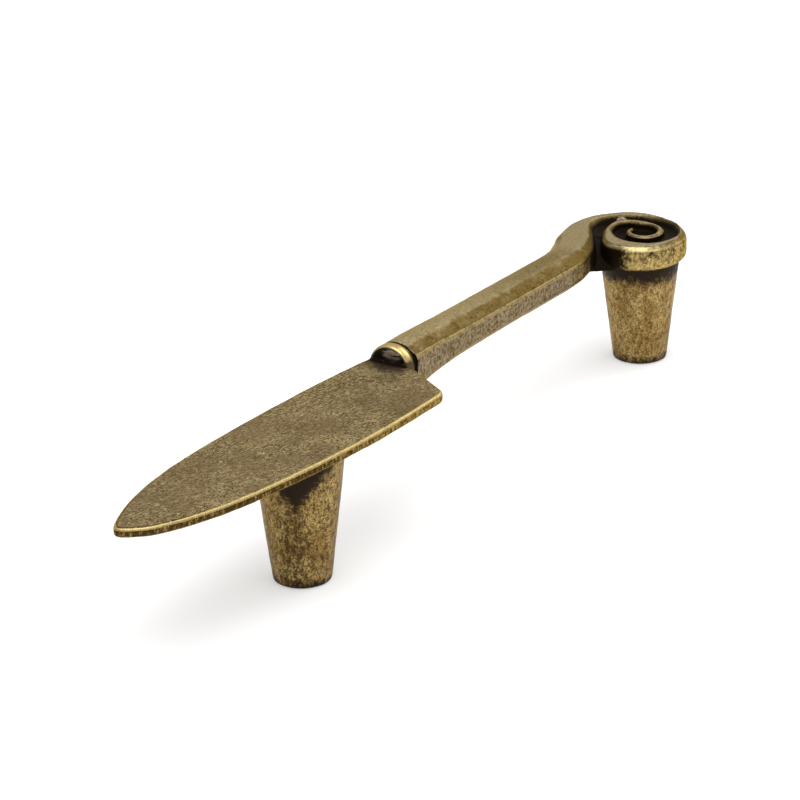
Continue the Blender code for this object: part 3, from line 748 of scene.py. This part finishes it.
deselect()
bpy.ops.mesh.primitive_cube_add(size=1)
web = bpy.context.object
web.name = "web"
open_side = (WEB_OPEN_EDGE, SCROLL_UNDERSIDE + WEB_THICKNESS)
inner_side = (WEB_INNER_EDGE, SCROLL_TOP - SPIRAL_DEPTH - WEB_STEP)
for vertex in web.data.vertices:
    edge, top = open_side if vertex.co.x < 0 else inner_side
    x, y = edge[:2] if vertex.co.y < 0 else edge[2:]
    vertex.co = (HOLE_SPACING + x, y, top if vertex.co.z > 0 else SCROLL_UNDERSIDE)
bpy.ops.object.mode_set(mode="EDIT")
bpy.ops.mesh.select_all(action="SELECT")
bpy.ops.mesh.normals_make_consistent(inside=False)
bpy.ops.object.mode_set(mode="OBJECT")

# Lump: a small bead of brass that the casting left in the scroll's groove, on the disc's floor. It
# bridges the gap between the rim and the ridge, and the brush has rubbed its top pale.
LUMP_SIZE = (0.00090, 0.00100, 0.00085)
LUMP_TURN = math.radians(33)

deselect()
bpy.ops.mesh.primitive_uv_sphere_add(segments=24, ring_count=12, radius=1)
lump = bpy.context.object
lump.name = "lump"
lump.scale = LUMP_SIZE
lump.rotation_euler = (0, 0, LUMP_TURN)
lump.location = (HOLE_SPACING + LUMP[0], LUMP[1], SCROLL_TOP - SPIRAL_DEPTH)
bpy.ops.object.transform_apply(location=True, rotation=True, scale=True)

# Posts: two tapered brass pegs cast under the blade and the disc, narrow at the foot. Each has a
# blind screw hole drilled in from its foot, for the screw that comes through the drawer front.
POST_FOOT_RADIUS = 0.0042
POST_FLARE = 0.123
FOOT_ROUNDING = 0.0003
SCREW_HOLE_RADIUS = 0.00165
SCREW_HOLE_DEPTH = 0.0115
SCREW_HOLE_CHAMFER = 0.0005
POST_TOPS = (BLADE_TOP - BLADE_THICKNESS / 2, (SCROLL_UNDERSIDE + SCROLL_TOP - SPIRAL_DEPTH) / 2)

posts = []
for x, top in zip((0, HOLE_SPACING), POST_TOPS):
    deselect()
    bpy.ops.mesh.primitive_cone_add(
        vertices=72,
        radius1=POST_FOOT_RADIUS,
        radius2=POST_FOOT_RADIUS + POST_FLARE * top,
        depth=top,
        location=(x, 0, top / 2),
    )
    post = bpy.context.object
    post.name = "post"
    bpy.ops.object.transform_apply(location=True, rotation=True, scale=True)
    bpy.ops.object.mode_set(mode="EDIT")
    mark(post, "edges", edge_at(0))
    bpy.ops.mesh.bevel(offset=FOOT_ROUNDING, segments=3)
    mark(post, "faces", lambda face: face.normal.z < -0.99)
    foot_ring = POST_FOOT_RADIUS - FOOT_ROUNDING - SCREW_HOLE_RADIUS - SCREW_HOLE_CHAMFER
    bpy.ops.mesh.inset(thickness=foot_ring)
    bpy.ops.mesh.inset(thickness=SCREW_HOLE_CHAMFER, depth=-SCREW_HOLE_CHAMFER)
    depth = SCREW_HOLE_DEPTH - SCREW_HOLE_CHAMFER
    bpy.ops.mesh.extrude_region_move(TRANSFORM_OT_translate={"value": (0, 0, depth)})
    bpy.ops.object.mode_set(mode="OBJECT")
    posts.append(post)

POST_GOLD = (0.318, 0.200, 0.056, 1)
POST_PALE = (0.545, 0.390, 0.148, 1)
POST_BROWN = (0.038, 0.017, 0.005, 1)
POST_UMBER = (0.076, 0.038, 0.010, 1)
POST_PATINA_AND_SHADE = (0.017, 0.0080, 0.0020, 1)
POST_EDGE_TINT = (0.76, 0.70, 0.62, 1)
FOOT_DARK_HEIGHT = 0.0017
FOOT_DARK_START = 0.0002
# The band at the head and the wedge under the blade are patina and painted shade.
DARK_BAND = 0.0144
DARK_BAND_BLEND = (-0.0014, 0.0008)
WEDGE_DEEPEST = 0.0132
WEDGE_SIDE = 0.0006
WEDGE_SLOPE = 1.1
SHADE_COLUMN_SIDE = 0.0010
SHADE_COLUMN_REACH = (-0.0028, -0.0004)
# The direction across the camera's view in plan, which places the painted shade and the wedge on
# the blade's post.
ACROSS = (-0.54, 0.84)
BETWEEN_POSTS = (0.02, 0.07)

post_brass, tree, surface, where, place, facing = antique_brass("antique_brass_post", 0.10)
surface.inputs["Specular Tint"].default_value = POST_EDGE_TINT
# Mottled gold under brown specks, with a browner column of painted shade down the blade's post, a
# little left of its middle as the camera sees it.
tall = add(tree, "VectorMath", {0: where, 1: (1, 1, 0.6)}, operation="MULTIPLY").outputs[0]
grain = noise(tree, where, 3600, 4, 0.85)
cloud = noise(tree, tall, 350, 5, 0.75)
under_blade = ramp(tree, place["X"], *BETWEEN_POSTS, 1.0, 0.0)
side = times(tree, place["X"], ACROSS[0])
side = reckon(tree, "ADD", side, times(tree, place["Y"], ACROSS[1]))
colour = mix(tree, ramp(tree, cloud, 0.38, 0.62), POST_GOLD, POST_PALE)
brown = mix(tree, under_blade, POST_UMBER, POST_BROWN)
colour = mix(tree, ramp(tree, grain, 0.38, 0.58, 0.9, 0.0), colour, brown)
# Painted shade: a browner upright column on the blade's post, placed across the camera's view.
column = reckon(tree, "ABSOLUTE", reckon(tree, "SUBTRACT", side, SHADE_COLUMN_SIDE), 0.0)
column = ramp(tree, reckon(tree, "SUBTRACT", 0.0, column), *SHADE_COLUMN_REACH, 0.01, 0.07)
stain = reckon(tree, "ADD", noise(tree, tall, 1700, 6, 0.8), times(tree, under_blade, column))
colour = mix(tree, ramp(tree, stain, 0.47, 0.62, 0.0, 0.85), colour, brown)
# Ragged patina round the foot, and a dark band at the head which dips to a wedge under the blade:
# patina, and painted shade where the blade and the disc overhang the posts.
ragged = reckon(tree, "SUBTRACT", noise(tree, where, 1100, 5, 0.8), 0.5)
ragged = times(tree, ragged, PATINA_RAGGEDNESS)
foot = reckon(tree, "ADD", place["Z"], ragged)
foot = ramp(tree, foot, FOOT_DARK_START, FOOT_DARK_HEIGHT, 0.95, 0.0)
wedge = reckon(tree, "ABSOLUTE", reckon(tree, "SUBTRACT", side, WEDGE_SIDE), 0.0)
wedge = times(tree, wedge, WEDGE_SLOPE)
wedge = times(tree, reckon(tree, "ADD", wedge, WEDGE_DEEPEST - DARK_BAND), under_blade)
head = reckon(tree, "SUBTRACT", place["Z"], reckon(tree, "ADD", wedge, DARK_BAND))
head = ramp(tree, reckon(tree, "ADD", head, ragged), *DARK_BAND_BLEND)
deep = use(tree, hollows, Reach=0.0035, From=0.16, To=0.36, Ragged=0.50)
dark = reckon(tree, "MAXIMUM", reckon(tree, "MAXIMUM", foot, head), deep)
dull = ramp(tree, grain, 0.3, 0.7, 0.32, 0.46)
dress(tree, surface, colour, dark, dull, grain, POST_PATINA_AND_SHADE)

# The casting: all forms become one body of brass, with the soft inner corners and the slightly
# uneven skin that a casting has. It stands on the flat feet of its posts, where screws hold it.
VOXEL = 0.00020
SOFTENING = 0.5
SOFTENING_PASSES = 3
WAVE_LENGTH = 0.0035
WAVE_HEIGHT = 0.00012
WAVE_LEVEL = 0.80
MOST_TRIANGLES = 190000
BAR_START = BOLSTER_FRONT + BOLSTER_LENGTH + 3 * GROOVE_WIDTH
POST_EDGE = 0.0004
POST_CLEARANCE = 0.00005

deselect()
for item in [blade, bolster, plate, web, lump, *posts, bar]:
    item.select_set(True)
bpy.context.view_layer.objects.active = bar
bpy.ops.object.join()
casting = bpy.context.object
casting.name = "knife_casting"
fused = casting.modifiers.new("Fused", "REMESH")
fused.mode = "VOXEL"
fused.voxel_size = VOXEL
bpy.ops.object.modifier_apply(modifier=fused.name)
soft = casting.modifiers.new("Soft", "SMOOTH")
soft.factor = SOFTENING
soft.iterations = SOFTENING_PASSES
bpy.ops.object.modifier_apply(modifier=soft.name)
waves = bpy.data.textures.new("cast_skin", "CLOUDS")
waves.noise_scale = WAVE_LENGTH
waves.noise_depth = 2
wavy = casting.modifiers.new("Wavy", "DISPLACE")
wavy.texture = waves
wavy.texture_coords = "LOCAL"
wavy.strength = WAVE_HEIGHT
wavy.mid_level = WAVE_LEVEL
bpy.ops.object.modifier_apply(modifier=wavy.name)
for vertex in casting.data.vertices:
    vertex.co.z = max(vertex.co.z, 0)
triangles = 2 * len(casting.data.polygons)
if triangles > MOST_TRIANGLES:
    fewer = casting.modifiers.new("Fewer", "DECIMATE")
    fewer.ratio = MOST_TRIANGLES / triangles
    bpy.ops.object.modifier_apply(modifier=fewer.name)
casting.data.transform(Matrix.Translation(HOME))
bpy.ops.object.shade_smooth()
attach(casting, "root")
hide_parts("knife_handle")

casting.data.materials.clear()
for metal in (blade_brass, bolster_brass, bar_brass, post_brass):
    casting.data.materials.append(metal)
post_places = ((0, BLADE_TOP - BLADE_THICKNESS), (HOLE_SPACING, SCROLL_UNDERSIDE))
for face in casting.data.polygons:
    x, y, z = face.center - HOME
    zone = 0 if x < BOLSTER_FRONT else 1 if x < BAR_START else 2
    for post_x, top in post_places:
        reach = POST_FOOT_RADIUS + POST_FLARE * z + POST_EDGE
        if z < top - POST_CLEARANCE and math.hypot(x - post_x, y) < reach:
            zone = 3
    face.material_index = zone

# The table: a plain matt sheet of white paper under the handle, which keeps the handle's shadow.
# The camera and the metal's gloss see it a little brighter than it is lit, so it reads as white.
FLOOR_SIZE = 3.0
FLOOR_WHITE = (0.82, 0.82, 0.82, 1)
FLOOR_GLOW = 0.36

deselect()
bpy.ops.mesh.primitive_plane_add(size=FLOOR_SIZE, location=(0, 0, 0))
floor = bpy.context.object
floor.name = "table_sheet"
paper = bpy.data.materials.new("white_sheet")
paper.use_nodes = True
tree = paper.node_tree
tree.nodes.clear()
rays = add(tree, "LightPath").outputs
seen = reckon(tree, "MAXIMUM", rays["Is Camera Ray"], rays["Is Glossy Ray"])
seen = reckon(tree, "MAXIMUM", seen, rays["Is Transmission Ray"])
matt = add(tree, "BsdfDiffuse", {"Color": FLOOR_WHITE}).outputs[0]
glow = times(tree, seen, FLOOR_GLOW)
glow = add(tree, "Emission", {"Color": (1, 1, 1, 1), "Strength": glow}).outputs[0]
both = add(tree, "AddShader", {0: matt, 1: glow}).outputs[0]
add(tree, "OutputMaterial", {"Surface": both})
floor.data.materials.append(paper)

# The light: a pale room with one large soft box overhead and a smaller one at the far right, as
# for a catalogue picture.
ROOM_LIGHT = 0.72

world = bpy.data.worlds.new("studio")
bpy.context.scene.world = world
world.use_nodes = True
world.node_tree.nodes["Background"].inputs["Color"].default_value = (1, 1, 1, 1)
world.node_tree.nodes["Background"].inputs["Strength"].default_value = ROOM_LIGHT
bpy.context.scene.view_settings.view_transform = "Standard"


def softbox(name, place, aim, size, power):
    """A square area lamp of a size in metres, turned towards a point."""
    bpy.ops.object.light_add(type="AREA", location=place)
    lamp = bpy.context.object
    lamp.name = name
    lamp.data.shape = "SQUARE"
    lamp.data.size = size
    lamp.data.energy = power
    lamp.rotation_euler = (Vector(aim) - Vector(place)).to_track_quat("-Z", "Y").to_euler()


softbox("ceiling_softbox", place=(-0.10, -0.10, 0.80), aim=(0, 0, 0), size=0.8, power=3.0)
softbox("right_softbox", place=(0.62, -0.18, 0.46), aim=(0.02, 0, 0.01), size=0.45, power=0.9)

# The camera: a long lens that looks down over the blade's tip from the cutting edge's side, placed
# so that the handle's outline falls where the photograph has it.
CAMERA_AZIMUTH = math.radians(-57.135)
CAMERA_ELEVATION = math.radians(22.5)
CAMERA_ROLL = math.radians(-1.252)
CAMERA_DISTANCE = 0.650
CAMERA_AIM = Vector((0.00741, 0.00802, 0.01022))
LENS = 197.8
SENSOR_WIDTH = 36
NEAREST_SEEN = 0.01

deselect()
bpy.ops.object.camera_add()
camera = bpy.context.object
camera.data.sensor_width = SENSOR_WIDTH
camera.data.lens = LENS
camera.data.clip_start = NEAREST_SEEN
pose = (
    Matrix.Rotation(CAMERA_AZIMUTH, 4, "Z")
    @ Matrix.Rotation(math.pi / 2 - CAMERA_ELEVATION, 4, "X")
    @ Matrix.Rotation(CAMERA_ROLL, 4, "Z")
)
camera.matrix_world = Matrix.Translation(CAMERA_AIM + pose.col[2].xyz * CAMERA_DISTANCE) @ pose
bpy.context.scene.camera = camera
